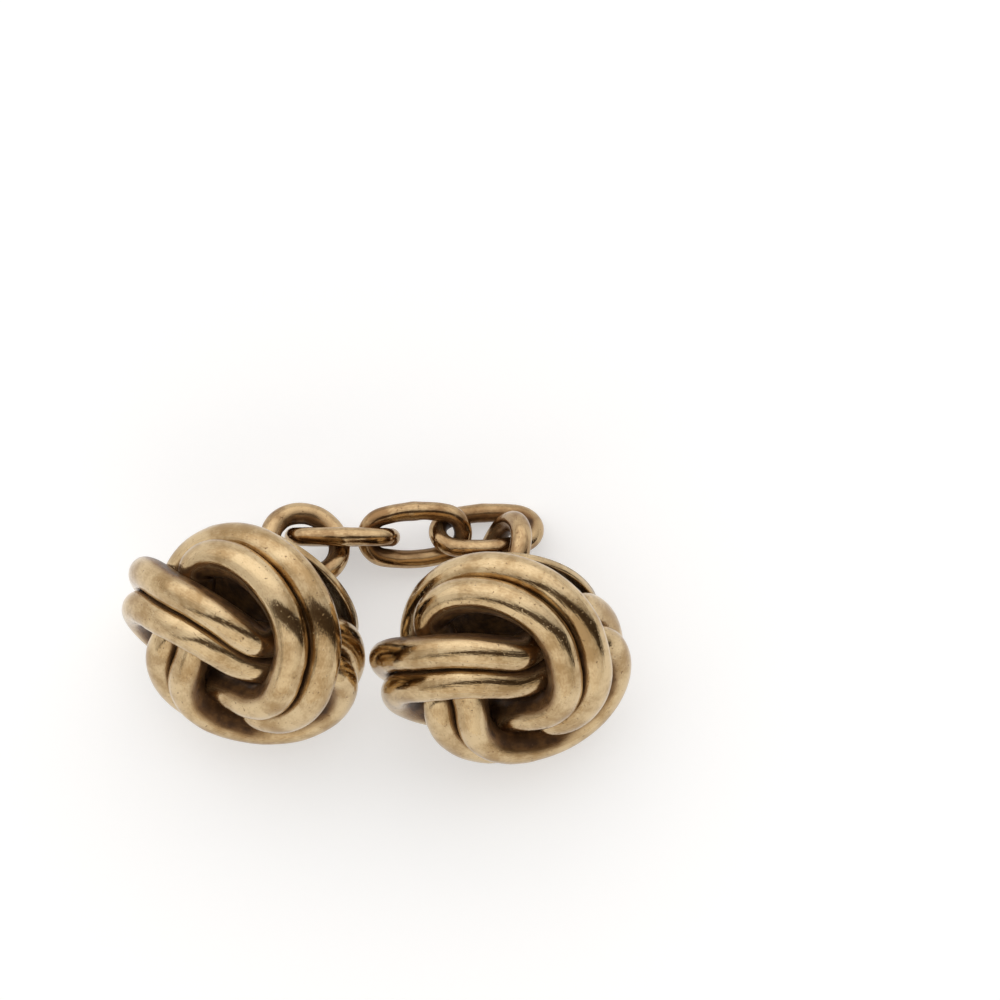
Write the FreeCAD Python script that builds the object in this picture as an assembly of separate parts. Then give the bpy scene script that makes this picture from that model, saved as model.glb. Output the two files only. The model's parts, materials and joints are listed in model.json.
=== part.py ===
import FreeCAD, Part
import math
import os

# A chain-link cufflink: two love knots of doubled wire, joined back to back by three oval links.
# Lengths are millimetres and angles degrees. Z is up, and the origin is on the table under the middle.
# The pose is the one of a cufflink laid down with its two faces side by side.

Vector = FreeCAD.Vector

# The knot: one band of two wires, wound twice round a dome and crossing itself three times
knot_wire = 1.5
strand_gap = 0.22
strand_end_gap = 0.1
dome_radius = 5.34
dome_height = 3.5
crossing_count = 3
winding_count = 2
knot_turn_angle = 104.0

# The band's angle from the head's axis, as a mean and its waves from lobe to lobe
polar_mean_angle = 62.0
polar_swing_angle = 32.5
polar_ripple_angle = 3.5
polar_skew_angle = 7.5

# How far the band runs ahead of an even turn round the axis
lead_swing_angle = -2.0
lead_ripple_angle = 10.0
lead_offset_swing_angle = 4.0
lead_offset_ripple_angle = 3.0

# How far the band rises over a crossing and dips under the next one, in wire thicknesses
over_lift_share = 0.54
lift_ripple_share = 0.16
lift_skew_share = 0.03

# The domed plate soldered behind the knot
plate_radius = 4.8
plate_rim = 0.4
plate_crown = 1.4
plate_seat_gap = 0.04

# The round loop soldered to the plate, its foot cut to the plate's dome
loop_outer = 4.7
loop_wire = 1.1
loop_sink = 0.4

# The three chain links, ovals of four arcs: the play of a wire in a link's end and the bow of its sides
link_length = 5.85
link_wire = 0.95
link_play = 0.095
link_bow = 0.155

# How the chain lies: slack of the end links, as shares of their room, and of one link's end in the next
loop_slack_left_share = 0.742
loop_slack_right_share = 0.45
link_slack = 0.14

# How the heads lie: their clearance, the right face's look in plan, their turns about their own axes
# and the height of their loops over the table
heads_gap = 0.2
face_turn_right_angle = 0.0
spin_left_angle = 0.0
spin_right_angle = 240.0
loop_height_left = 1.32
loop_height_right = 0.25

# Where the end links cross the loops: short of the way the left one pulls, and from the right loop's tip
crossing_lag_left_angle = 21.0
crossing_right_angle = 8.0

# The way each link points in plan, slopes and rolls
heading_left_angle = 0.0
heading_middle_angle = 4.0
heading_right_angle = 4.0
slope_left_angle = -3.0
slope_middle_angle = -6.0
roll_left_angle = 95.0
roll_middle_angle = 25.0
roll_right_angle = -39.0

# Working steps, none of which is a size
span_count = 36
look_angle = 0.0001
round_count = 40
lift_low_angle = 5.0
lift_high_angle = 70.0
face_turn_low_angle = -60.0
face_turn_high_angle = 80.0
sample_count = 360

# Sizes that follow
strand_pitch = knot_wire + strand_gap
loop_radius = (loop_outer - loop_wire) / 2
link_end_radius = (link_wire + max(link_wire, loop_wire)) / 2 + link_play
link_reach = link_end_radius - link_slack
link_half = (link_length - link_wire) / 2
link_room = min(link_length - 3 * link_wire - loop_wire, loop_outer - 2 * loop_wire - link_wire)
link_rise = link_end_radius + link_bow
X_AXIS = Vector(1, 0, 0)
Y_AXIS = Vector(0, 1, 0)
Z_AXIS = Vector(0, 0, 1)
ORIGIN = Vector(0, 0, 0)


def band(t):
    """Point of the band's middle line at the turn t, and the dome's normal there."""
    wave = crossing_count * t
    polar = math.radians(polar_mean_angle + polar_swing_angle * math.cos(wave)
                         + polar_ripple_angle * math.cos(2 * wave) + polar_skew_angle * math.sin(2 * wave))
    lead = (lead_swing_angle * math.sin(wave) + lead_ripple_angle * math.sin(2 * wave)
            + lead_offset_swing_angle * math.cos(wave) + lead_offset_ripple_angle * math.cos(2 * wave))
    turn = math.radians(knot_turn_angle + lead) + winding_count * t
    ring = math.sin(polar)
    base = Vector(dome_radius * ring * math.cos(turn),
                  dome_radius * ring * math.sin(turn),
                  dome_height * math.cos(polar))
    normal = Vector(dome_height * ring * math.cos(turn),
                    dome_height * ring * math.sin(turn),
                    dome_radius * math.cos(polar)).normalize()
    lift = knot_wire * (lift_ripple_share * math.cos(2 * wave) + lift_skew_share * math.sin(2 * wave)
                        - over_lift_share * math.sin(wave))
    return base + normal * lift, normal


def strand(t, side):
    """Point of one wire of the band: side is 1 for the wire nearer the middle and -1 for the other."""
    point, normal = band(t)
    along = band(t + look_angle)[0] - band(t - look_angle)[0]
    across = normal.cross(along).normalize()
    return point + across * (side * strand_pitch / 2)


def arc_edge(start, heading, end):
    """Arc from start to end that leaves start along heading."""
    chord = end - start
    along = Vector(chord).normalize()
    bow = heading - along * heading.dot(along)
    half_turn = math.atan2(bow.Length, heading.dot(along)) / 2
    sagitta = chord.Length / 2 * math.tan(half_turn)
    middle = start + chord / 2 + bow.normalize() * sagitta
    return Part.Arc(start, middle, end).toShape()


def biarc(start, heading, end, end_heading):
    """Two tangent arcs of like length between two points with given directions."""
    gap = end - start
    both = heading + end_heading
    spread = 2 * (1 - heading.dot(end_heading))
    pull = gap.dot(both)
    reach = (math.sqrt(pull * pull + spread * gap.dot(gap)) - pull) / spread
    joint = (start + end + (heading - end_heading) * reach) / 2
    first = arc_edge(start, heading, joint)
    second = arc_edge(end, end_heading * -1, joint)
    return [first, second]


def strand_path(side):
    """Wire of arcs along one strand, open by a hairline where a crossing hides its ends."""
    hidden = math.pi / (2 * crossing_count)
    near_run = strand(hidden + look_angle, side) - strand(hidden - look_angle, side)
    speed = near_run.Length / (2 * look_angle)
    first = hidden + strand_end_gap / 2 / speed
    run = 2 * math.pi - strand_end_gap / speed
    points = []
    headings = []
    for k in range(span_count + 1):
        t = first + run * k / span_count
        points.append(strand(t, side))
        headings.append((strand(t + look_angle, side) - strand(t - look_angle, side)).normalize())
    edges = []
    for k in range(span_count):
        edges += biarc(points[k], headings[k], points[k + 1], headings[k + 1])
    return Part.Wire(Part.__sortEdges__(edges)), points[0], headings[0]


def tube(path, start, heading, radius):
    """Round wire of one thickness along a path of tangent arcs."""
    section = Part.Wire(Part.Circle(start, heading, radius).toShape())
    solid = path.makePipeShell([section], True, False)
    print("tube", len(solid.Faces), "faces, volume against section times length",
          round(solid.Volume / (math.pi * radius ** 2 * path.Length), 5), "valid", solid.isValid())
    return solid


def back_plate(front):
    """Round plate with a flat front and a domed back, turned about the head's axis."""
    rim = front - plate_rim
    crown = rim - plate_crown
    sphere = (plate_radius ** 2 + plate_crown ** 2) / (2 * plate_crown)
    half = math.asin(plate_radius / sphere) / 2
    shoulder = Vector(sphere * math.sin(half), 0, crown + sphere * (1 - math.cos(half)))
    corners = [Vector(0, 0, front), Vector(plate_radius, 0, front), Vector(plate_radius, 0, rim)]
    edges = [Part.LineSegment(corners[0], corners[1]).toShape(),
             Part.LineSegment(corners[1], corners[2]).toShape(),
             Part.Arc(corners[2], shoulder, Vector(0, 0, crown)).toShape(),
             Part.LineSegment(Vector(0, 0, crown), corners[0]).toShape()]
    return Part.Face(Part.Wire(edges)).revolve(ORIGIN, Z_AXIS, 360).Solids[0], crown


def oval_path():
    """Closed oval of two end arcs and two flatter side arcs, round the link's own middle."""
    end_middle = link_half - link_end_radius
    side_radius = ((link_half ** 2 - 2 * link_half * link_end_radius + link_rise ** 2)
                   / (2 * (link_rise - link_end_radius)))
    side_middle = side_radius - link_rise
    share = link_end_radius / math.hypot(end_middle, side_middle)
    corner = Vector(end_middle * (1 + share), side_middle * share, 0)
    right_low = Vector(corner.x, -corner.y, 0)
    left_high = Vector(-corner.x, corner.y, 0)
    edges = [Part.Arc(right_low, X_AXIS * link_half, corner).toShape(),
             Part.Arc(corner, Y_AXIS * link_rise, left_high).toShape(),
             Part.Arc(left_high, X_AXIS * -link_half, corner * -1).toShape(),
             Part.Arc(corner * -1, Y_AXIS * -link_rise, right_low).toShape()]
    heading = Vector(side_middle, end_middle, 0).normalize()
    return Part.Wire(edges), right_low, heading


def head_rotation(face_turn, face_lift, spin):
    """Turn of a head whose face looks to the near side, swung clockwise, and up from level."""
    swing = math.radians(face_turn)
    lift = math.radians(face_lift)
    behind = Vector(math.sin(swing), math.cos(swing), 0)
    right = Vector(math.cos(swing), -math.sin(swing), 0)
    face = Z_AXIS * math.sin(lift) - behind * math.cos(lift)
    upper = face.cross(right)
    lay = FreeCAD.Rotation(right, upper, face, "ZXY")
    return lay.multiply(FreeCAD.Rotation(Z_AXIS, spin))


def lowest(points, turn, radius):
    return min(turn.multVec(point).z for point in points) - radius


def standing_head(face_turn, spin, loop_height):
    """Turn and height of a head on the table: its lobes or its plate touch, its loop is at a height."""
    low, high = lift_low_angle, lift_high_angle
    for _ in range(round_count):
        lift = (low + high) / 2
        turn = head_rotation(face_turn, lift, spin)
        stand = min(lowest(knot_points, turn, knot_wire / 2), lowest(rim_points, turn, 0))
        if lowest(loop_points, turn, loop_wire / 2) - stand > loop_height:
            low = lift
        else:
            high = lift
    return turn, -stand


def link_rotation(heading, slope, roll):
    """Turn of a link from its heading in plan, its slope and its roll about its own length."""
    level = FreeCAD.Rotation(Z_AXIS, heading)
    tilted = level.multiply(FreeCAD.Rotation(Y_AXIS, -slope))
    return tilted.multiply(FreeCAD.Rotation(X_AXIS, roll))


def loop_point(crossing):
    """Point of the loop's middle line in the head's frame, by its angle from the loop's tip."""
    angle = math.radians(crossing)
    return Vector(loop_radius * math.sin(angle), 0, -loop_distance - loop_radius * math.cos(angle))


# Solids of one head in its own frame, with its face along Z, and of one link about its middle
inner_path, inner_start, inner_heading = strand_path(1)
outer_path, outer_start, outer_heading = strand_path(-1)
knot_points = inner_path.discretize(sample_count) + outer_path.discretize(sample_count)
plate_front = lowest(knot_points, FreeCAD.Rotation(), knot_wire / 2) - plate_seat_gap
plate, plate_back = back_plate(plate_front)
rim_middle = Vector(0, 0, plate_front - plate_rim)
rim_points = Part.Circle(rim_middle, Z_AXIS, plate_radius).toShape().discretize(sample_count)
loop_distance = loop_outer / 2 - loop_sink - plate_back
loop_middle = Vector(0, 0, -loop_distance)
loop_points = Part.Circle(loop_middle, Y_AXIS, loop_radius).toShape().discretize(sample_count)
loop = Part.makeTorus(loop_radius, loop_wire / 2, loop_middle, Y_AXIS).cut(plate).Solids[0]
link_path, link_start, link_heading = oval_path()
link_points = link_path.discretize(sample_count)
link = tube(link_path, link_start, link_heading, link_wire / 2)
head = {"knot_inner_strand": tube(inner_path, inner_start, inner_heading, knot_wire / 2),
        "knot_outer_strand": tube(outer_path, outer_start, outer_heading, knot_wire / 2),
        "back_plate": plate,
        "loop": loop}

# Reach of an end link over its loop, and the middle of a link's end arc
loop_hold = link_half - link_wire / 2 - loop_wire / 2
end_middle = X_AXIS * (link_half - link_end_radius)


def next_link(before, turn):
    """Place of a link whose near end hangs in the far end of the link before it."""
    along = turn.multVec(X_AXIS)
    pull = (along + before.Rotation.multVec(X_AXIS)).normalize()
    near_end = before.multVec(end_middle) + pull * link_reach
    return FreeCAD.Placement(near_end + turn.multVec(end_middle), turn)


def laid_out(face_turn):
    """Places of the heads and links when the left face is swung by face_turn."""
    left_turn, left_height = standing_head(face_turn, spin_left_angle, loop_height_left)
    left_head = FreeCAD.Placement(Z_AXIS * left_height, left_turn)
    link_turn = link_rotation(heading_left_angle, slope_left_angle, roll_left_angle)
    along = link_turn.multVec(X_AXIS)
    pull = left_turn.inverted().multVec(along)
    crossing = math.degrees(math.atan2(pull.x, -pull.z)) - crossing_lag_left_angle
    hang = along * (loop_hold - loop_slack_left_share * link_room)
    left_link = FreeCAD.Placement(left_head.multVec(loop_point(crossing)) + hang, link_turn)
    middle_turn = link_rotation(heading_middle_angle, slope_middle_angle, roll_middle_angle)
    middle_link = next_link(left_link, middle_turn)
    right_run = loop_hold - loop_slack_right_share * link_room
    slope = slope_middle_angle
    for _ in range(round_count):
        right_link = next_link(middle_link, link_rotation(heading_right_angle, slope, roll_right_angle))
        drop = right_height + right_hold.z - right_link.multVec(X_AXIS * -link_half).z
        slope = math.degrees(math.asin(drop / (link_half + right_run)))
    right_head = FreeCAD.Placement(right_link.multVec(X_AXIS * right_run) - right_hold, right_turn)
    return left_head, left_link, middle_link, right_link, right_head


def moved(shape, place):
    return shape.transformed(place.toMatrix(), copy=True)


# The right head stands by itself, and the left face swings until the heads are their clearance apart
right_turn, right_height = standing_head(face_turn_right_angle, spin_right_angle, loop_height_right)
right_hold = right_turn.multVec(loop_point(crossing_right_angle))
knot_lines = Part.makeCompound([inner_path, outer_path])
low, high = face_turn_low_angle, face_turn_high_angle
for _ in range(round_count):
    face_turn = (low + high) / 2
    left_head, left_link, middle_link, right_link, right_head = laid_out(face_turn)
    apart = moved(knot_lines, left_head).distToShape(moved(knot_lines, right_head))[0]
    if apart - knot_wire < heads_gap:
        low = face_turn
    else:
        high = face_turn
print("left face turned", round(face_turn, 2), "heads apart", round(apart - knot_wire, 4))

# The origin goes to the table, under the middle of the outline
places = [(left_head, knot_points, knot_wire / 2), (right_head, knot_points, knot_wire / 2),
          (left_head, rim_points, 0), (right_head, rim_points, 0),
          (left_head, loop_points, loop_wire / 2), (right_head, loop_points, loop_wire / 2),
          (left_link, link_points, link_wire / 2), (middle_link, link_points, link_wire / 2),
          (right_link, link_points, link_wire / 2)]
low_corner = []
high_corner = []
for axis in range(3):
    low_corner.append(min(min(place.multVec(point)[axis] for point in points) - radius
                          for place, points, radius in places))
    high_corner.append(max(max(place.multVec(point)[axis] for point in points) + radius
                           for place, points, radius in places))
shift = Vector(-(low_corner[0] + high_corner[0]) / 2, -(low_corner[1] + high_corner[1]) / 2, -low_corner[2])
print("size", [round(high_corner[axis] - low_corner[axis], 3) for axis in range(3)])


def settled(place):
    return FreeCAD.Placement(place.Base + shift, place.Rotation)


def export(name, shape, place):
    moved(shape, settled(place)).exportStep("parts/" + name + ".step")


os.makedirs("parts", exist_ok=True)
for side, place in (("left", left_head), ("right", right_head)):
    for name, shape in head.items():
        export(side + "_" + name, shape, place)
for name, place in (("left_chain_link", left_link), ("middle_chain_link", middle_link),
                    ("right_chain_link", right_link)):
    export(name, link, place)

# Hinge lines of the chain: round a loop's ring, or round the far end of a link
hinges = {"left_link_on_loop": (left_head, loop_middle, Y_AXIS),
          "middle_link_on_left_link": (left_link, end_middle, Z_AXIS * -1),
          "right_link_on_middle_link": (middle_link, end_middle, Z_AXIS),
          "right_head_on_right_link": (right_head, loop_middle, Y_AXIS * -1)}
for name, (place, anchor, axis) in hinges.items():
    at = settled(place).multVec(anchor)
    way = place.Rotation.multVec(axis)
    print("hinge", name, [round(v, 4) for v in at], [round(v, 5) for v in way])

# The stretch of chain that stays in the buttonholes
at = settled(middle_link).Base
way = middle_link.Rotation.multVec(X_AXIS)
print("spot buttonhole_span", [round(v, 4) for v in at], [round(v, 5) for v in way])
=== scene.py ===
"""Looks of a chain-link cufflink with love-knot heads: worn old gold on a white studio table."""

import json
import math

import bpy
import numpy as np
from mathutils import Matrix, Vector


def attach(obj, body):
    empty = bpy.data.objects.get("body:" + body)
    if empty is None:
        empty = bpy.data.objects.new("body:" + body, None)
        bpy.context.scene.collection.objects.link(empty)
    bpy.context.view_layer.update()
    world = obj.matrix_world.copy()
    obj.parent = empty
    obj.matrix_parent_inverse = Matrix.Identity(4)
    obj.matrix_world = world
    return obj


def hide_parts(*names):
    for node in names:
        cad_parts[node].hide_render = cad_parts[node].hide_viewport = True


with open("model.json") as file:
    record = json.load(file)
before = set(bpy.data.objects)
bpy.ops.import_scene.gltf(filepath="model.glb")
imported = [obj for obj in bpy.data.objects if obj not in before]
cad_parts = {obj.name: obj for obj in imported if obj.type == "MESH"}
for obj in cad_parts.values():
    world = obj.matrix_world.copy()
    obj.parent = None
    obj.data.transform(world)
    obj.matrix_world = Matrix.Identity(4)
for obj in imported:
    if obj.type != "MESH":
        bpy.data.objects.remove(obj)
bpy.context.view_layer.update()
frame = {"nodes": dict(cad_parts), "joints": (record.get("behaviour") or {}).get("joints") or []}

bl_info = {
    "name": "Love-knot cufflink",
    "version": (1, 0, 0),
    "blender": (4, 5, 0),
    "location": "3D View > Sidebar > Cufflink",
    "description": "Lays worn gold wires, plates, loops and links round the frame of a chain-link cufflink",
    "category": "Object",
}

MM = 0.001
HINGES = {joint["name"]: joint for joint in frame["joints"]}

# Each head's body and the hinge that runs round its loop, with the sign of the head's upright on that hinge
HEADS = {"left": ("left_head", "left_link_on_loop", 1.0),
         "right": ("right_head", "right_head_on_right_link", -1.0)}
LINKS = {"left": "left_link", "middle": "middle_link", "right": "right_link"}

# Each finish's roughness where it is polished, its share of dirt and painted shade and the depth of its marks
# in millimetres
FINISHES = {"knot gold": (0.05, 1.0, 0.020), "plate gold": (0.12, 1.0, 0.020),
            "loop gold": (0.05, 1.1, 0.012), "link gold": (0.05, 1.2, 0.012)}

# Dents along a wire: their first seed, and the most waves along it
KNOT_SEED, KNOT_WAVES = 0, 60
LOOP_SEED, LINK_SEED, CHAIN_WAVES = 11, 20, 12

# What wear leaves of a chain wire's thickness, and the height of its dents as a share of that thickness
CHAIN_LEFT = 0.985
CHAIN_DENTS = 0.008

# Most dirt and painted shade on the knots, and the dirt and painted shade in the grooves between their wires
MOST_DIRT_AND_SHADE = 0.75
GROOVE_DIRT_AND_SHADE = 0.45

# Bend of a wire, as its thickness over the radius, past which no solder fills it out
TIGHT_BEND = 1.6


def length(name, description, millimetres):
    """Length property, given in millimetres and kept in metres."""
    return bpy.props.FloatProperty(name=name, description=description, default=millimetres * MM,
                                   unit="LENGTH", precision=5)


def angle(name, description, degrees):
    """Angle property, given in degrees."""
    return bpy.props.FloatProperty(name=name, description=description, default=math.radians(degrees),
                                   subtype="ANGLE")


def share(name, description, value):
    """Plain factor property."""
    return bpy.props.FloatProperty(name=name, description=description, default=value, subtype="FACTOR")


def number(name, description, value):
    """Count property."""
    return bpy.props.IntProperty(name=name, description=description, default=value, min=3)


def pixels(name, description, value):
    """Place or size in the photograph, in pixels."""
    return bpy.props.FloatProperty(name=name, description=description, default=value, subtype="PIXEL")


def colour(name, description, value):
    """Colour property, linear."""
    return bpy.props.FloatVectorProperty(name=name, description=description, default=value, size=3,
                                         subtype="COLOR", min=0.0, max=1.0)


class KnotSizes(bpy.types.PropertyGroup):
    """Shape of the doubled band that makes a knot."""

    wire: length("Wire", "Thickness of each wire of the band", 1.5)
    wire_width: length("Wire width", "Width of a worn wire across the band", 1.68)
    strand_gap: length("Strand gap", "Space left between the round wires of the band", 0.22)
    dome_radius: length("Dome radius", "Rim radius of the dome that the band lies on", 5.34)
    dome_height: length("Dome height", "Height of that dome along the head's axis", 3.5)
    turn: angle("Turn", "Turn of the first lobe against the loop", 104.0)
    polar_mean: angle("Polar mean", "Mean angle of the band from the head's axis", 62.0)
    polar_swing: angle("Polar swing", "Swing of that angle from lobe to lobe", 32.5)
    polar_ripple: angle("Polar ripple", "Even double wave of that angle", 3.5)
    polar_skew: angle("Polar skew", "Odd double wave of that angle", 7.5)
    lead_swing: angle("Lead swing", "Odd wave of the band's lead on an even turn", -2.0)
    lead_ripple: angle("Lead ripple", "Odd double wave of that lead", 10.0)
    lead_offset_swing: angle("Lead offset swing", "Even wave of that lead", 4.0)
    lead_offset_ripple: angle("Lead offset ripple", "Even double wave of that lead", 3.0)
    over_lift_share: share("Over lift", "Rise over a crossing, in wire thicknesses", 0.54)
    lift_ripple_share: share("Lift ripple", "Even double wave of the rise", 0.16)
    lift_skew_share: share("Lift skew", "Odd double wave of the rise", 0.03)
    inner_solder: length("Inner solder", "Solder that fills out a wire on its hidden side", 0.45)
    dent_share: share("Dents", "Depth of the dents and wear of a wire, as a share of its thickness", 0.006)
    steps_along: number("Steps along", "Rings along one wire", 840)
    steps_around: number("Steps around", "Points round one wire", 44)


class BackSizes(bpy.types.PropertyGroup):
    """Plates and loops behind the knots."""

    plate_radius: length("Plate radius", "Radius of the plate behind a knot", 4.8)
    plate_rim: length("Plate rim", "Thickness of the plate's rim", 0.4)
    plate_crown: length("Plate crown", "Height of the dome on the plate's back", 1.4)
    plate_seat_gap: length("Plate seat", "Solder gap between the knot and its plate", 0.04)
    plate_round: length("Plate rounding", "Rounding of the plate's rim", 0.15)
    loop_outer: length("Loop", "Outside diameter of a loop", 4.7)
    loop_wire: length("Loop wire", "Thickness of a loop's wire", 1.1)
    loop_sink: length("Loop sink", "How deep the loop's foot sits in the plate's dome", 0.4)
    solder_share: share("Solder", "Flare of the loop's foot where it is soldered on", 0.55)
    solder_reach: angle("Solder reach", "How far round the loop the flare goes", 22.0)


class LinkSizes(bpy.types.PropertyGroup):
    """Oval links of the chain."""

    link_length: length("Link length", "Outside length of a link", 5.85)
    link_wire: length("Link wire", "Thickness of a link's wire", 0.95)
    end_radius: length("End radius", "Radius of a link's end at the middle of its wire", 1.12)
    side_bow: length("Side bow", "How far a link's sides bow out past its ends", 0.155)
    seam_share: share("Seam", "Swell of the wire at its soldered seam", 0.05)
    seam_reach: length("Seam reach", "Half length of that swell", 0.3)


class GoldLook(bpy.types.PropertyGroup):
    """Colours of the worn gold."""

    clean: colour("Clean gold", "Rubbed gold on the crests", (0.62, 0.47, 0.276))
    patina: colour("Patina", "Toned gold between the rubbed places", (0.37, 0.243, 0.116))
    chain_clean: colour("Clean chain", "Rubbed gold of the chain", (0.545, 0.39, 0.215))
    chain_patina: colour("Chain patina", "Toned gold of the chain", (0.25, 0.145, 0.068))
    # Grime colours reddish dirt in the grooves and pits, and also painted shade where the wires are covered
    grime_and_shade: colour("Grime_and_shade", "Reddish dirt in the grooves", (0.19, 0.098, 0.038))
    # Soot is painted shade: a near-black colour put deep inside the knots, where only shade falls
    painted_deep_shade: colour("Painted_deep_shade", "Black dirt deep inside the knots", (0.07, 0.036, 0.018))
    groove: length("Groove", "Gap below which dirt gathers between wires", 0.25)
    # Painted shade gathers once other wires cover more than this share of a point's view
    open_cover: share("Open cover", "Share of the view that may be covered before dirt gathers", 0.45)


class StageLook(bpy.types.PropertyGroup):
    """Table, light and camera."""

    table: colour("Table", "Colour of the white table", (0.70, 0.71, 0.726))
    glow: share("Table glow", "Light that the table adds to what the camera sees of it", 0.42)
    light: share("Light", "Strength of the tent's light", 1.55)
    far: colour("Far panel", "Light of the tent's far panel", (1.0, 0.98, 0.955))
    near: colour("Near panel", "Light of the tent's near panel", (0.72, 0.69, 0.64))
    slot: colour("Slot", "Light from the dark slot that the camera looks through", (0.075, 0.056, 0.040))
    rim_share: share("Far panel's rim", "Light left at the rims of the far panel", 0.65)
    far_rise: angle("Far panel's rise", "Angle from the slot to the far panel's full light", 35.0)
    far_foot: angle("Far panel's foot", "Height over the horizon of the far panel's full light", 22.0)
    end_loss: share("End loss", "Light lost towards the tent's ends", 0.3)
    end_shift: share("End shift", "How far left of the middle the tent is brightest", 0.2)
    slot_turn: angle("Slot turn", "Turn of the slot against the picture's width", 8.0)
    slot_far: angle("Slot's far edge", "Angle of the slot's far edge to the near side of overhead", 1.0)
    slot_near: angle("Slot's near edge", "Angle of the slot's near edge to the near side of overhead", 32.0)
    slot_far_taper: share("Far taper", "How fast the slot's far edge closes in towards the left", 0.44)
    slot_near_taper: share("Near taper", "How fast the slot's near edge closes in towards the left", 0.1)
    slot_edge: angle("Slot edge", "Half width of the slot's soft edges", 3.0)
    view_tilt: angle("View tilt", "Height of the camera over the horizon", 84.0)
    view_distance: length("View distance", "Distance of the camera", 800.0)
    pixels_per_mm: pixels("Pixels per millimetre", "Scale of the photograph at the left head", 20.0)
    photo_size: pixels("Photo size", "Side of the photograph in pixels", 1000.0)
    head_across: pixels("Head across", "Left head's middle, in pixels from the left edge", 249.0)
    head_down: pixels("Head down", "Left head's middle, in pixels from the top edge", 628.6)


def unit(vectors):
    """Vectors over their lengths, along the last axis."""
    return vectors / np.linalg.norm(vectors, axis=-1, keepdims=True)


def node_triangles(name):
    """Corners of a frame node's triangles, as an array of triangle, corner and coordinate."""
    mesh = frame["nodes"][name].data
    mesh.calc_loop_triangles()
    corners = np.zeros(len(mesh.vertices) * 3, np.float32)
    mesh.vertices.foreach_get("co", corners)
    index = np.zeros(len(mesh.loop_triangles) * 3, np.int32)
    mesh.loop_triangles.foreach_get("vertices", index)
    return corners.reshape(-1, 3).astype(float)[index].reshape(-1, 3, 3)


def surface_axes(name):
    """Middle of a node's surface and its axes of least, middle and most spread, weighted by area."""
    triangles = node_triangles(name)
    edges = triangles[:, 1:] - triangles[:, :1]
    area = np.linalg.norm(np.cross(edges[:, 0], edges[:, 1]), axis=1)
    middles = triangles.mean(axis=1)
    centre = np.average(middles, axis=0, weights=area)
    spread = (middles - centre) * np.sqrt(area)[:, None]
    return centre, np.linalg.eigh(spread.T @ spread)[1].T


def loop_distance(back, front):
    """How far behind the head's origin its loop's middle lies, when the plate's front is at front."""
    return back.loop_outer / 2 - back.loop_sink + back.plate_rim + back.plate_crown - front


def head_frame(side, distance):
    """Origin and axes of a head: X across, Y along the loop's hinge and Z out of the face."""
    body, hinge, sign = HEADS[side]
    loop_middle = np.array(HINGES[hinge]["pos_m"])
    upright = unit(np.array(HINGES[hinge]["axis"])) * sign
    face = surface_axes(side + "_back_plate")[0] - loop_middle
    face = unit(face - upright * (face @ upright))
    return loop_middle + face * distance, np.stack([np.cross(upright, face), upright, face])


def placed(points, origin, axes):
    """Points of a local frame in the part's frame."""
    return points @ axes + origin


def band(knot, t):
    """Middle line of the knot's band and the dome's normals, at the turns t.

    The band runs twice round the axis on an ellipsoid. Its polar angle swings three times about a mean,
    it leads and lags an even turn, and it rises and dips along the normal by waves of the wire's thickness.
    """
    wave = 3 * t
    polar = (knot.polar_mean + knot.polar_swing * np.cos(wave) + knot.polar_ripple * np.cos(2 * wave)
             + knot.polar_skew * np.sin(2 * wave))
    turn = (knot.turn + 2 * t + knot.lead_swing * np.sin(wave) + knot.lead_ripple * np.sin(2 * wave)
            + knot.lead_offset_swing * np.cos(wave) + knot.lead_offset_ripple * np.cos(2 * wave))
    ball = np.stack([np.sin(polar) * np.cos(turn), np.sin(polar) * np.sin(turn), np.cos(polar)], axis=-1)
    radii = np.array([knot.dome_radius, knot.dome_radius, knot.dome_height])
    normal = unit(ball / radii)
    lift = knot.wire * (knot.lift_ripple_share * np.cos(2 * wave) + knot.lift_skew_share * np.sin(2 * wave)
                        - knot.over_lift_share * np.sin(wave))
    return ball * radii + normal * lift[:, None], normal


def strand(knot, side):
    """Middle line of one wire, with its directions across and out of the band.

    The wire lies half a pitch to one side of the band's middle line, along normal times direction.
    It starts under a crossing, so that the pattern's seam is hidden there.
    """
    t = np.pi / 6 + np.linspace(0.0, 2 * np.pi, knot.steps_along, endpoint=False)
    line, normal = band(knot, t)
    along = unit(np.roll(line, -1, axis=0) - np.roll(line, 1, axis=0))
    across = unit(np.cross(normal, along))
    path = line + across * (side * (knot.wire + knot.strand_gap) / 2)
    along = unit(np.roll(path, -1, axis=0) - np.roll(path, 1, axis=0))
    out = unit(normal - along * np.sum(normal * along, axis=1, keepdims=True))
    return path, np.cross(out, along), out


def straightness(knot, path, out):
    """One where a wire runs straight or bends out, and less the tighter it bends in.

    It is the tight bend less the wire's thickness over its radius, cut off at nought and one.
    """
    along = np.roll(path, -1, axis=0) - np.roll(path, 1, axis=0)
    span = np.linalg.norm(along, axis=1)
    along = along / span[:, None]
    bend = -np.sum((np.roll(along, -1, axis=0) - np.roll(along, 1, axis=0)) * out, axis=1) / span
    return np.clip(TIGHT_BEND - bend * knot.wire, 0.0, 1.0)[:, None]


def dents(rows, columns, seed, most):
    """Smooth field of about unit size over a closed grid: a sum of seeded waves round both ways.

    Fewer than most waves go along the grid, and up to three round it.
    """
    draw = np.random.default_rng(seed)
    along = np.linspace(0.0, 2 * np.pi, rows, endpoint=False)[:, None]
    around = np.linspace(0.0, 2 * np.pi, columns, endpoint=False)[None, :]
    field = np.zeros((rows, columns))
    draws = 28
    for _ in range(draws):
        waves = draw.integers(2, most)
        turns = draw.integers(0, 4)
        field += np.sin(waves * along + turns * around + draw.uniform(0.0, 2 * np.pi)) / math.sqrt(draws / 2)
    return field


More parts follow.
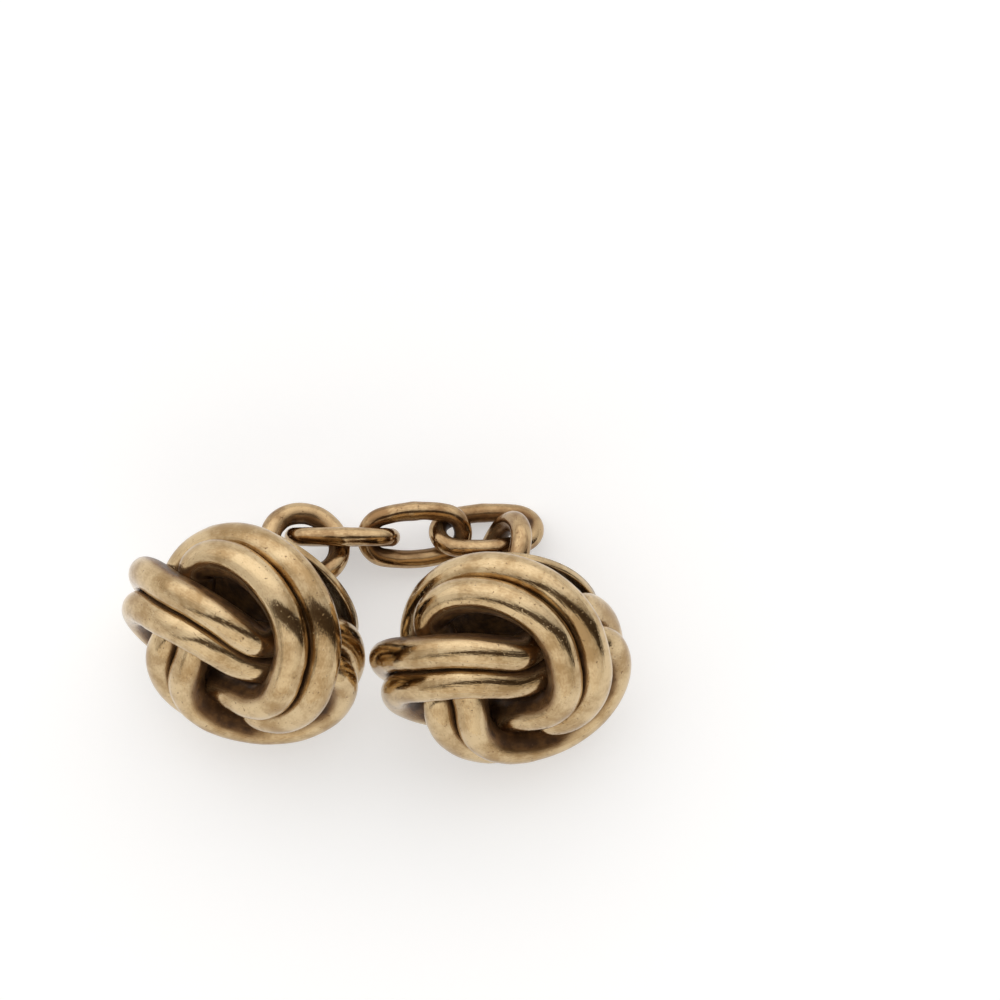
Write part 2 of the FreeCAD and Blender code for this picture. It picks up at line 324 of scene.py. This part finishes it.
def tube(path, across, out, half_width, half_height, around, swell):
    """Ring carried along a closed path: path + across * half_width * sin - out * half_height * cos.

    The angle starts on the inner side, where the pattern's other seam lies. Swell scales each point.
    """
    a = ring_turns(around)
    ring = (across[:, None, :] * (half_width * np.sin(a))[..., None]
            - out[:, None, :] * (half_height * np.cos(a))[..., None])
    return path[:, None, :] + ring * swell[..., None]


def ring_turns(columns):
    """Angles of the points round a wire, from its inner side."""
    return np.linspace(0.0, 2 * np.pi, columns, endpoint=False)


def run_length(path):
    """Length along a closed path at each point, with the whole length at the end."""
    steps = np.linalg.norm(np.roll(path, -1, axis=0) - path, axis=1)
    return np.concatenate([[0.0], np.cumsum(steps)])


def closed_faces(rows, columns):
    """Corner numbers of the faces of a grid that is closed both ways, and the same with open numbering."""
    r, c = np.meshgrid(np.arange(rows), np.arange(columns), indexing="ij")
    r, c = r.ravel(), c.ravel()
    row = np.stack([r, r, r + 1, r + 1], axis=1)
    column = np.stack([c, c + 1, c + 1, c], axis=1)
    return (row % rows) * columns + column % columns, row, column


def tube_piece(name, grid, along, around_length, crevice):
    """Mesh object of a tube, with its run and girth in millimetres as a UV map and its crevice mask."""
    rows, columns = grid.shape[:2]
    faces, row, column = closed_faces(rows, columns)
    mesh = bpy.data.meshes.new(name)
    mesh.from_pydata(grid.reshape(-1, 3), [], faces)
    uv = np.stack([along[row] / MM, column / columns * around_length / MM], axis=-1)
    return finished(name, mesh, uv, crevice)


def finished(name, mesh, uv, crevice):
    """Object of a mesh with smooth faces, the UV map wire_mm and the attribute crevice."""
    mesh.uv_layers.new(name="wire_mm").data.foreach_set("uv", uv.astype(np.float32).ravel())
    mask = mesh.attributes.new("crevice", "FLOAT", "POINT")
    mask.data.foreach_set("value", crevice.astype(np.float32).ravel())
    mesh.shade_smooth()
    mesh.validate()
    piece = bpy.data.objects.new(name, mesh)
    bpy.context.scene.collection.objects.link(piece)
    return piece


def dress(piece, body, node, material):
    """Gives a piece its material and body, and lets it stand for its frame node."""
    piece.data.materials.append(material)
    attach(piece, body)
    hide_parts(node)


def wire_cover(grid, path, line, radius):
    """Distance of each grid point to a closed wire, and the share of the point's view that it covers.

    Each step of the wire covers its width times its length over the squared distance, times the cosine
    from the point's normal, over pi. On a tube's own wire, the nearest twelfth each way is left out. The
    rows are worked through in blocks, to save memory.
    """
    rows = grid.shape[0]
    near_share = 1 / 12
    nearest = np.zeros(grid.shape[:2])
    cover = np.zeros(grid.shape[:2])
    normal = unit(grid - path[:, None, :])
    place = np.arange(len(line)) / len(line)
    step = run_length(line)[-1] / len(line)
    own = np.allclose(line[0], path[0])
    block = 60
    for first in range(0, rows, block):
        part = slice(first, first + block)
        toward = line - grid[part, :, None, :]
        squares = np.sum(toward ** 2, axis=-1)
        if own:
            at = np.arange(rows)[part] / rows
            apart = np.abs((at[:, None] - place + 0.5) % 1.0 - 0.5)
            squares = np.where((apart < near_share)[:, None, :], np.inf, squares)
        facing = np.clip(np.einsum("rcpx,rcx->rcp", toward, normal[part]), 0.0, None) / np.sqrt(squares)
        cover[part] = np.sum(facing * 2 * radius * step / np.pi / (squares + radius ** 2), axis=-1)
        nearest[part] = np.sqrt(squares.min(axis=-1))
    return nearest, cover


def knot_dirt_and_shade(gold, gap, cover, inward, straight):
    """Mask of dirt and painted shade on a knot's wire, the most of four kinds at each point.

    Dirt and painted shade lie in the grooves between wires; painted shade lies where other wires cover the
    view, on the wire's hidden side, most in its bends, and up the flanks of a wire that passes under another.
    """
    # Painted shade: the covered, hidden and flank terms darken places in the wires' shade; the groove term is
    # dirt and painted shade
    groove = GROOVE_DIRT_AND_SHADE * np.exp(-np.clip(gap / gold.groove, 0.0, None) ** 2)
    covered = np.clip(cover - gold.open_cover, 0.0, MOST_DIRT_AND_SHADE)
    hidden = np.clip(1.4 * inward + 0.65 - 0.5 * straight, 0.0, MOST_DIRT_AND_SHADE)
    under = np.where(inward < 0.0, cover, 0.0).max(axis=1, keepdims=True) - gold.open_cover
    flanks = np.clip(0.6 + inward, 0.0, MOST_DIRT_AND_SHADE) * np.clip(2.0 * under, 0.0, 1.0)
    return np.maximum.reduce([groove, covered, hidden, flanks])


def plate_front(scene):
    """Height of the plate's front in the head's frame: just behind the knot's wires."""
    knot = scene.cufflink_knot
    lowest = min(strand(knot, side)[0][:, 2].min() for side in (1.0, -1.0))
    return lowest - knot.wire / 2 - scene.cufflink_back.plate_seat_gap


def arc(middle, radius, start, end, steps):
    """Points of a flat arc between two angles."""
    a = np.linspace(start, end, steps)
    return np.stack([middle[0] + radius * np.cos(a), middle[1] + radius * np.sin(a)], axis=-1)


def plate_surface(back, front):
    """Profile turned about the head's axis: flat front, rounded rim, and a shallow sphere at the back.

    Returns the grid of profile and turn, the run along the profile, and the mask of dirt and painted shade:
    painted shade on the front inside the knot, least at its rim, and dirt with painted shade in a ring round
    the loop's foot at the back.
    """
    steps = 160
    flat_steps, bend_steps, dome_steps = 24, 8, 40
    rim = front - back.plate_rim
    sphere = (back.plate_radius ** 2 + back.plate_crown ** 2) / (2 * back.plate_crown)
    ball = rim - back.plate_crown + sphere
    slope = math.asin(back.plate_radius / sphere)
    edge = back.plate_round
    across = np.linspace(0.0, back.plate_radius - edge, flat_steps, endpoint=False)
    flat = np.stack([across, np.full(flat_steps, front)], axis=-1)
    bend = arc((back.plate_radius - edge, front - edge), edge, math.pi / 2, 0.0, bend_steps)
    dome = arc((0.0, ball), sphere, slope - math.pi / 2, -math.pi / 2, dome_steps)
    profile = np.concatenate([flat, bend, dome])
    turn = np.linspace(0.0, 2 * np.pi, steps, endpoint=False)
    radius = profile[:, :1]
    height = np.broadcast_to(profile[:, 1:], (len(profile), steps))
    grid = np.stack([radius * np.cos(turn), radius * np.sin(turn), height], axis=-1)
    run = np.concatenate([[0.0], np.cumsum(np.linalg.norm(np.diff(profile, axis=0), axis=1))])
    rubbed_from, rubbed_fade = 0.92, 0.2
    foot_dirt_and_shade, foot_reach = 0.8, 2.2 * back.loop_wire
    under = np.clip((rubbed_from - profile[:, 0] / back.plate_radius) / rubbed_fade, 0.0, 1.0)
    # Painted shade: the front inside the knot is darkened, least at its rim; the loop's foot gets dirt and
    # painted shade
    inside = np.clip((profile[:, 1] - rim) / back.plate_rim, 0.0, 1.0) * (0.25 + 0.45 * under)
    foot = np.linalg.norm(grid - [0.0, 0.0, rim - back.plate_crown], axis=-1)
    crevice = np.maximum(inside[:, None], foot_dirt_and_shade * np.exp(-(foot / foot_reach) ** 4))
    return grid, run, crevice


def turned_piece(name, grid, run, crevice):
    """Mesh object of a turned surface whose first and last rows are single points on its axis."""
    rows, columns = grid.shape[:2]
    inner = rows - 2
    points = np.concatenate([grid[:1, 0], grid[1:-1].reshape(-1, 3), grid[-1:, 0]])
    mask = np.concatenate([crevice[:1, 0], crevice[1:-1].ravel(), crevice[-1:, 0]])
    r, c = np.meshgrid(np.arange(inner - 1), np.arange(columns), indexing="ij")
    r, c = r.ravel(), c.ravel()
    row = np.stack([r, r + 1, r + 1, r], axis=1)
    column = np.stack([c, c, c + 1, c + 1], axis=1)
    quads = 1 + row * columns + column % columns
    at = np.arange(columns)
    after = (at + 1) % columns
    last = 1 + (inner - 1) * columns
    front = np.stack([np.zeros_like(at), 1 + at, 1 + after], axis=1)
    back = np.stack([np.full_like(at, len(points) - 1), last + after, last + at], axis=1)
    mesh = bpy.data.meshes.new(name)
    mesh.from_pydata(points, [], quads.tolist() + front.tolist() + back.tolist())
    reach = np.linalg.norm(grid[1:-1, 0, :] - grid[1:-1, columns // 2, :], axis=-1).max() / 2
    step = 2 * np.pi * reach / columns / MM
    run = run / MM
    around = np.concatenate([column.ravel(), np.stack([at, at, at + 1], axis=1).ravel(),
                             np.stack([at, at + 1, at], axis=1).ravel()]) * step
    along = np.concatenate([run[1 + row].ravel(), np.tile([run[0], run[1], run[1]], columns),
                            np.tile([run[-1], run[-2], run[-2]], columns)])
    return finished(name, mesh, np.stack([around, along], axis=-1), mask)


def loop_surface(back, distance):
    """Ring of round wire behind the plate, flared where it is soldered on.

    The path is a circle in the head's plane of X and Z, from its foot in the plate round to the foot again.
    The wire swells by a bell curve of the angle from the foot, but not on the inside, where the chain goes.
    Dirt and painted shade lie on the inside and round the foot.
    """
    rows, columns = 220, 36
    turn = np.linspace(0.0, 2 * np.pi, rows, endpoint=False)
    zero = np.zeros(rows)
    out = np.stack([np.sin(turn), zero, np.cos(turn)], axis=-1)
    across = np.stack([zero, zero + 1.0, zero], axis=-1)
    path = out * (back.loop_outer - back.loop_wire) / 2 - np.array([0.0, 0.0, distance])
    from_foot = np.minimum(turn, 2 * np.pi - turn)
    inside = (1.0 + np.cos(ring_turns(columns))) / 2
    flare = np.exp(-(from_foot[:, None] / back.solder_reach) ** 2) * (1.0 - inside)
    worn = CHAIN_LEFT + CHAIN_DENTS * dents(rows, columns, LOOP_SEED, CHAIN_WAVES)
    swell = (1.0 + back.solder_share * flare) * worn
    grid = tube(path, across, out, back.loop_wire / 2, back.loop_wire / 2, columns, swell)
    # Dirt and painted shade: darker on the loop's inside and round its foot
    inside_dirt_and_shade, foot_dirt_and_shade = 0.6, 0.8
    foot_reach = 1.8 * back.solder_reach
    at_foot = foot_dirt_and_shade * np.exp(-(from_foot[:, None] / foot_reach) ** 2)
    return grid, path, np.maximum(inside_dirt_and_shade * inside ** 2, at_foot)


def link_surface(sizes, seed):
    """Round wire along a closed oval of four arcs, round ends and slightly bowed sides.

    The sides' radius makes them tangent to the ends. The wire swells a little at the seam in the middle of
    one side, and is worn on the inside of the ends. Dirt and painted shade lie on the inside, most at the
    ends.
    """
    rows, columns = 240, 32
    half = (sizes.link_length - sizes.link_wire) / 2
    end = sizes.end_radius
    rise = end + sizes.side_bow
    side = (half ** 2 - 2 * half * end + rise ** 2) / (2 * (rise - end))
    reach = half - end
    drop = side - rise
    corner = math.atan2(drop, reach)
    end_run = 2 * corner * end
    side_run = (math.pi - 2 * corner) * side
    starts = np.cumsum([0.0, end_run, side_run, end_run])
    run = np.linspace(0.0, 2 * (end_run + side_run), rows, endpoint=False)
    piece = np.searchsorted(starts, run, side="right") - 1
    radius = np.array([end, side, end, side])[piece]
    turn = np.array([-corner, corner, np.pi - corner, np.pi + corner])[piece] + (run - starts[piece]) / radius
    middle = np.array([[reach, 0.0, 0.0], [0.0, -drop, 0.0], [-reach, 0.0, 0.0], [0.0, drop, 0.0]])[piece]
    out = np.stack([np.cos(turn), np.sin(turn), np.zeros(rows)], axis=-1)
    across = np.tile([0.0, 0.0, 1.0], (rows, 1))
    path = middle + out * radius[:, None]
    seam = 1.0 + sizes.seam_share * np.exp(-((run - end_run - side_run / 2) / sizes.seam_reach) ** 2)
    swell = seam[:, None] * (CHAIN_LEFT + CHAIN_DENTS * dents(rows, columns, seed, CHAIN_WAVES))
    inside = (1.0 + np.cos(ring_turns(columns))) / 2
    at_end = np.clip((np.abs(path[:, 0]) / half - 0.5) * 2, 0.0, 1.0)[:, None]
    # Dirt and painted shade: darker on the link's inside, most at its ends
    end_wear, side_dirt_and_shade, end_dirt_and_shade = 0.05, 0.42, 0.45
    wear = 1.0 - end_wear * at_end * inside ** 2
    grid = tube(path, across, out, sizes.link_wire / 2, sizes.link_wire / 2, columns, swell * wear)
    return grid, path, inside ** 1.5 * (side_dirt_and_shade + end_dirt_and_shade * at_end)


class NodeTree:
    """Short way to add nodes to a tree and join them."""

    def __init__(self, tree):
        self.tree = tree

    def add(self, kind, inputs=None, **settings):
        """New node, with links or values for its inputs and its own settings."""
        node = self.tree.nodes.new(kind)
        for key, value in settings.items():
            setattr(node, key, value)
        for key, value in (inputs or {}).items():
            if isinstance(value, bpy.types.NodeSocket):
                self.tree.links.new(value, node.inputs[key])
            else:
                node.inputs[key].default_value = value
        return node

    def maths(self, operation, *values, clamp=False):
        """Result of a sum on sockets and numbers."""
        return self.add("ShaderNodeMath", dict(enumerate(values)), operation=operation,
                        use_clamp=clamp).outputs[0]

    def mix(self, factor, first, second):
        """Colour between two, by a factor."""
        return self.add("ShaderNodeMix", {0: factor, 6: first, 7: second}, data_type="RGBA").outputs[2]

    def ramp(self, value, low, high):
        """Smooth step from nought at low to one at high."""
        return self.add("ShaderNodeMapRange", {0: value, 1: low, 2: high}, clamp=True,
                        interpolation_type="SMOOTHSTEP").outputs[0]

    def noise(self, vector, scale, detail, roughness=0.55):
        """Noise with its own scale on each axis."""
        mapped = self.add("ShaderNodeMapping", {"Vector": vector, "Scale": scale}).outputs[0]
        return self.add("ShaderNodeTexNoise", {"Vector": mapped, "Scale": 1.0, "Detail": detail,
                                               "Roughness": roughness}).outputs[0]


def worn_gold_group():
    """Node group of worn gold: toned clouds, lines drawn along the wire, pits, and dirt with painted shade in
    the grooves and hollows.

    Wire runs along and round the wire and Place along the part's axes. Both are taken in millimetres, so
    that the noises' scales are their waves per millimetre. Dirt and painted shade are mostly not metal, and
    the deepest is painted near-black shade.
    """
    found = bpy.data.node_groups.get("worn_gold")
    if found:
        return found
    group = bpy.data.node_groups.new("worn_gold", "ShaderNodeTree")
    for name, kind in (("Wire", "NodeSocketVector"), ("Place", "NodeSocketVector"),
                       ("Crevice", "NodeSocketFloat"), ("Clean", "NodeSocketColor"),
                       ("Patina", "NodeSocketColor"), ("Grime_and_shade", "NodeSocketColor"),
                       ("Painted_deep_shade", "NodeSocketColor"), ("Polish", "NodeSocketFloat"),
                       ("Dirt_and_shade", "NodeSocketFloat")):
        group.interface.new_socket(name=name, in_out="INPUT", socket_type=kind)
    for name, kind in (("Color", "NodeSocketColor"), ("Roughness", "NodeSocketFloat"),
                       ("Metallic", "NodeSocketFloat"), ("Height", "NodeSocketFloat")):
        group.interface.new_socket(name=name, in_out="OUTPUT", socket_type=kind)
    make = NodeTree(group)
    given = make.add("NodeGroupInput").outputs
    millimetres = make.add("ShaderNodeVectorMath", {0: given["Place"], "Scale": 1.0 / MM},
                           operation="SCALE").outputs[0]
    lines = make.noise(given["Wire"], (0.45, 8.0, 1.0), 5.0, 0.65)
    waver = make.noise(given["Wire"], (0.55, 3.2, 1.0), 4.0)
    clouds = make.noise(millimetres, (0.55, 0.55, 0.55), 5.0, 0.6)
    grain = make.noise(given["Wire"], (5.0, 11.0, 1.0), 2.0)
    specks = make.noise(millimetres, (6.5, 6.5, 6.5), 2.0)
    pits = make.ramp(specks, 0.66, 0.74)
    mottled = make.maths("ADD", clouds, make.maths("MULTIPLY", grain, 0.2))
    toned = make.mix(make.ramp(mottled, 0.46, 0.76), given["Clean"], given["Patina"])
    ragged = make.maths("MULTIPLY_ADD", waver, 0.9, 0.45)
    # Dirt and painted shade: the crevice mask, made ragged, turns the gold to grime, and where deepest to
    # painted near-black shade
    dirt_and_shade = make.maths("MULTIPLY", make.maths("MULTIPLY", given["Crevice"], ragged), given["Dirt_and_shade"], clamp=True)
    dirty_and_shaded = make.mix(make.ramp(dirt_and_shade, 0.0, 0.6), toned, given["Grime_and_shade"])
    stains = make.noise(millimetres, (1.7, 1.7, 1.7), 4.0, 0.6)
    deep = make.maths("ADD", dirt_and_shade, make.maths("MULTIPLY", stains, 0.8))
    dirty_and_shaded = make.mix(make.ramp(deep, 0.8, 1.2), dirty_and_shaded, given["Painted_deep_shade"])
    pitted = make.mix(make.maths("MULTIPLY", pits, 0.7), dirty_and_shaded, given["Grime_and_shade"])
    rough = make.maths("MULTIPLY_ADD", lines, 0.12, given["Polish"])
    rough = make.maths("ADD", rough, make.maths("MULTIPLY", dirt_and_shade, 0.3), clamp=True)
    height = make.maths("ADD", make.maths("MULTIPLY", lines, 0.5), waver)
    height = make.maths("ADD", height, make.maths("MULTIPLY", grain, 0.25))
    height = make.maths("SUBTRACT", height, make.maths("MULTIPLY", pits, 0.8))
    # Where dirt and painted shade lie, the gold is mostly not metal
    bare = make.maths("SUBTRACT", 1.0, make.maths("MULTIPLY", make.ramp(dirt_and_shade, 0.15, 0.7), 0.85))
    make.add("NodeGroupOutput", {"Color": pitted, "Roughness": rough, "Metallic": bare, "Height": height})
    return group


def worn_gold(name, clean, patina):
    """Metal material of worn gold, with its own two colours and the finish of that name."""
    look = bpy.context.scene.cufflink_gold
    polish, dirt_and_shade, depth = FINISHES[name]
    material = bpy.data.materials.new(name)
    material.use_nodes = True
    material.node_tree.nodes.clear()
    make = NodeTree(material.node_tree)
    place = make.add("ShaderNodeTexCoord").outputs["Object"]
    wire = make.add("ShaderNodeUVMap", uv_map="wire_mm").outputs[0]
    crevice = make.add("ShaderNodeAttribute", attribute_name="crevice").outputs["Fac"]
    gold = make.add("ShaderNodeGroup", node_tree=worn_gold_group())
    for key, value in (("Wire", wire), ("Place", place), ("Crevice", crevice)):
        make.tree.links.new(value, gold.inputs[key])
    for key, value in (("Clean", clean), ("Patina", patina), ("Grime_and_shade", look.grime_and_shade), ("Painted_deep_shade", look.painted_deep_shade)):
        gold.inputs[key].default_value = (*value, 1.0)
    gold.inputs["Polish"].default_value = polish
    gold.inputs["Dirt_and_shade"].default_value = dirt_and_shade
    marks = make.add("ShaderNodeBump", {"Strength": 1.0, "Distance": depth * MM,
                                        "Height": gold.outputs["Height"]})
    surface = make.add("ShaderNodeBsdfPrincipled", {"Metallic": gold.outputs["Metallic"],
                                                    "Base Color": gold.outputs["Color"],
                                                    "Roughness": gold.outputs["Roughness"],
                                                    "Specular IOR Level": 0.15,
                                                    "Normal": marks.outputs[0]})
    make.add("ShaderNodeOutputMaterial", {"Surface": surface.outputs[0]})
    return material


class CUFFLINK_OT_knots(bpy.types.Operator):
    """Lay the two wires of each knot over its dome"""

    bl_idname = "cufflink.knots"
    bl_label = "Knots"

    def execute(self, context):
        knot = context.scene.cufflink_knot
        gold = context.scene.cufflink_gold
        material = worn_gold("knot gold", gold.clean, gold.patina)
        strands = {"inner": strand(knot, 1.0), "outer": strand(knot, -1.0)}
        front = plate_front(context.scene)
        distance = loop_distance(context.scene.cufflink_back, front)
        girth = math.pi * (knot.wire + knot.wire_width) / 2
        for seed, (name, (path, across, out)) in enumerate(strands.items(), KNOT_SEED):
            swell = 1.0 + knot.dent_share * dents(knot.steps_along, knot.steps_around, seed, KNOT_WAVES)
            grid = tube(path, across, out, knot.wire_width / 2, knot.wire / 2, knot.steps_around, swell)
            # Painted shade: cover is the share of each point's view hidden by the wires, which later darkens
            # it
            near = [wire_cover(grid, path, other[::3], knot.wire / 2) for other, _, _ in strands.values()]
            gap = np.minimum(near[0][0], near[1][0]) - knot.wire / 2
            cover = near[0][1] + near[1][1]
            inward = np.cos(ring_turns(knot.steps_around))
            straight = straightness(knot, path, out)
            fill = knot.inner_solder * np.clip(inward, 0.0, 1.0) * straight
            grid -= out[:, None, :] * fill[..., None]
            # Dirt and painted shade on the knot's wires: darker in grooves, covered places, hidden sides and
            # flanks
            crevice = knot_dirt_and_shade(gold, gap, cover, inward, straight)
            for side in HEADS:
                world = placed(grid.reshape(-1, 3), *head_frame(side, distance)).reshape(grid.shape)
                piece = tube_piece(f"{side}_{name}_wire", world, run_length(path), girth, crevice)
                dress(piece, HEADS[side][0], f"{side}_knot_{name}_strand", material)
        return {"FINISHED"}


class CUFFLINK_OT_plates(bpy.types.Operator):
    """Turn the domed plate behind each knot"""

    bl_idname = "cufflink.plates"
    bl_label = "Back plates"

    def execute(self, context):
        back = context.scene.cufflink_back
        gold = context.scene.cufflink_gold
        material = worn_gold("plate gold", gold.clean, gold.patina)
        front = plate_front(context.scene)
        grid, run, crevice = plate_surface(back, front)
        for side in HEADS:
            world = placed(grid.reshape(-1, 3), *head_frame(side, loop_distance(back, front)))
            piece = turned_piece(side + "_plate", world.reshape(grid.shape), run, crevice)
            dress(piece, HEADS[side][0], side + "_back_plate", material)
        return {"FINISHED"}


class CUFFLINK_OT_loops(bpy.types.Operator):
    """Bend the loop on each plate, with solder round its foot"""

    bl_idname = "cufflink.loops"
    bl_label = "Loops"

    def execute(self, context):
        back = context.scene.cufflink_back
        gold = context.scene.cufflink_gold
        material = worn_gold("loop gold", gold.chain_clean, gold.chain_patina)
        distance = loop_distance(back, plate_front(context.scene))
        grid, path, crevice = loop_surface(back, distance)
        for side in HEADS:
            world = placed(grid.reshape(-1, 3), *head_frame(side, distance)).reshape(grid.shape)
            piece = tube_piece(side + "_ring", world, run_length(path), math.pi * back.loop_wire, crevice)
            dress(piece, HEADS[side][0], side + "_loop", material)
        return {"FINISHED"}


class CUFFLINK_OT_links(bpy.types.Operator):
    """Bend the three oval links of the chain"""

    bl_idname = "cufflink.links"
    bl_label = "Chain links"

    def execute(self, context):
        sizes = context.scene.cufflink_link
        gold = context.scene.cufflink_gold
        material = worn_gold("link gold", gold.chain_clean, gold.chain_patina)
        for seed, (side, body) in enumerate(LINKS.items(), LINK_SEED):
            node = side + "_chain_link"
            grid, path, crevice = link_surface(sizes, seed)
            middle, (_, width, along) = surface_axes(node)
            axes = np.stack([along, width, np.cross(along, width)])
            world = placed(grid.reshape(-1, 3), middle, axes).reshape(grid.shape)
            piece = tube_piece(side + "_oval", world, run_length(path), math.pi * sizes.link_wire, crevice)
            dress(piece, body, node, material)
        return {"FINISHED"}


class CUFFLINK_OT_stage(bpy.types.Operator):
    """Set up the white table, soft light and the camera"""

    bl_idname = "cufflink.stage"
    bl_label = "Stage"

    def execute(self, context):
        stage = context.scene.cufflink_stage
        scene = context.scene
        scene.view_settings.view_transform = "Standard"
        half = 2.0
        mesh = bpy.data.meshes.new("studio_table")
        mesh.from_pydata([(-half, -half, 0.0), (half, -half, 0.0), (half, half, 0.0), (-half, half, 0.0)],
                         [], [(0, 1, 2, 3)])
        table = bpy.data.objects.new("studio_table", mesh)
        scene.collection.objects.link(table)
        table.data.materials.append(table_material(stage))
        studio(stage)
        camera(stage)
        return {"FINISHED"}


def table_material(stage):
    """White table that glows a little towards the camera and in reflections, and keeps its shadow."""
    material = bpy.data.materials.new("white table")
    material.use_nodes = True
    material.node_tree.nodes.clear()
    make = NodeTree(material.node_tree)
    paper = make.add("ShaderNodeBsdfDiffuse", {"Color": (*stage.table, 1.0)})
    path = make.add("ShaderNodeLightPath").outputs
    seen = make.maths("ADD", path["Is Camera Ray"], path["Is Glossy Ray"], clamp=True)
    seen = make.maths("ADD", seen, path["Is Transmission Ray"], clamp=True)
    glow = make.add("ShaderNodeEmission", {"Color": (1.0, 1.0, 1.0, 1.0),
                                           "Strength": make.maths("MULTIPLY", seen, stage.glow)})
    both = make.add("ShaderNodeAddShader", {0: paper.outputs[0], 1: glow.outputs[0]})
    make.add("ShaderNodeOutputMaterial", {"Surface": both.outputs[0]})
    return material


def studio(stage):
    """Soft studio light: a tent of a far and a near panel, with the camera's dark slot between them.

    How far a direction leans to the far side tells which of the three it meets. The slot tapers to the left,
    the far panel is weaker at its upper and lower rim, and all light falls with the square of the way to
    the tent's ends.
    """
    world = bpy.data.worlds.new("white tent")
    world.use_nodes = True
    world.node_tree.nodes.clear()
    make = NodeTree(world.node_tree)
    way = make.add("ShaderNodeTexCoord").outputs["Generated"]
    far_way = (-math.sin(stage.slot_turn), math.cos(stage.slot_turn), 0.0)
    lean = make.add("ShaderNodeVectorMath", {0: way, 1: far_way}, operation="DOT_PRODUCT").outputs["Value"]
    right, _, height = make.add("ShaderNodeSeparateXYZ", {0: way}).outputs
    leftward = make.maths("MINIMUM", right, 0.0)

    def past(at, taper):
        """One on the far side of an edge of the slot at that angle, which moves with the way to the left."""
        tapered = make.maths("ADD", lean, make.maths("MULTIPLY", leftward, taper))
        return make.ramp(tapered, math.sin(at - stage.slot_edge), math.sin(at + stage.slot_edge))

    rim = [part * stage.rim_share for part in stage.far]
    full = make.maths("MULTIPLY", make.ramp(lean, 0.0, math.sin(stage.far_rise)),
                      make.ramp(height, 0.0, math.sin(stage.far_foot)))
    far = make.mix(full, (*rim, 1.0), (*stage.far, 1.0))
    shade = make.mix(past(-stage.slot_near, stage.slot_near_taper), (*stage.near, 1.0), (*stage.slot, 1.0))
    shade = make.mix(past(-stage.slot_far, -stage.slot_far_taper), shade, far)
    aside = make.maths("POWER", make.maths("ADD", right, stage.end_shift), 2.0)
    loss = make.maths("MULTIPLY", aside, stage.light * stage.end_loss)
    left_over = make.maths("SUBTRACT", stage.light, loss)
    light = make.add("ShaderNodeBackground", {"Color": shade, "Strength": left_over})
    make.add("ShaderNodeOutputWorld", {"Surface": light.outputs[0]})
    bpy.context.scene.world = world


def camera(stage):
    """Camera over the table, placed so that the left head falls on its pixels of the photograph."""
    scene = bpy.context.scene
    head = head_frame("left", loop_distance(scene.cufflink_back, plate_front(scene)))[0]
    back = np.array([0.0, -math.cos(stage.view_tilt), math.sin(stage.view_tilt)])
    up = np.array([0.0, math.sin(stage.view_tilt), math.cos(stage.view_tilt)])
    right = np.array([1.0, 0.0, 0.0])
    metres = MM / stage.pixels_per_mm
    aim = head + metres * (right * (stage.photo_size / 2 - stage.head_across)
                           + up * (stage.head_down - stage.photo_size / 2))
    data = bpy.data.cameras.new("camera")
    data.lens = data.sensor_width * stage.view_distance / (stage.photo_size * metres)
    data.clip_start = stage.view_distance / 100
    data.clip_end = stage.view_distance * 100
    eye = bpy.data.objects.new("camera", data)
    eye.location = aim + back * stage.view_distance
    eye.rotation_mode = "QUATERNION"
    eye.rotation_quaternion = Vector(-back).to_track_quat("-Z", "Y")
    scene.collection.objects.link(eye)
    scene.camera = eye


OPERATORS = (CUFFLINK_OT_knots, CUFFLINK_OT_plates, CUFFLINK_OT_loops, CUFFLINK_OT_links, CUFFLINK_OT_stage)


class CUFFLINK_PT_panel(bpy.types.Panel):
    """Sizes and looks of the cufflink"""

    bl_label = "Cufflink"
    bl_idname = "CUFFLINK_PT_panel"
    bl_space_type = "VIEW_3D"
    bl_region_type = "UI"
    bl_category = "Cufflink"

    def draw(self, context):
        for operator in OPERATORS:
            self.layout.operator(operator.bl_idname)


GROUPS = {"cufflink_knot": KnotSizes, "cufflink_back": BackSizes, "cufflink_link": LinkSizes,
          "cufflink_gold": GoldLook, "cufflink_stage": StageLook}
CLASSES = (*GROUPS.values(), *OPERATORS, CUFFLINK_PT_panel)


def register():
    for item in CLASSES:
        bpy.utils.register_class(item)
    for name, group in GROUPS.items():
        setattr(bpy.types.Scene, name, bpy.props.PointerProperty(type=group))


def unregister():
    for name in GROUPS:
        delattr(bpy.types.Scene, name)
    for item in reversed(CLASSES):
        bpy.utils.unregister_class(item)


def main():
    register()
    bpy.ops.cufflink.knots()
    bpy.ops.cufflink.plates()
    bpy.ops.cufflink.loops()
    bpy.ops.cufflink.links()
    bpy.ops.cufflink.stage()


if __name__ == "__main__":
    main()
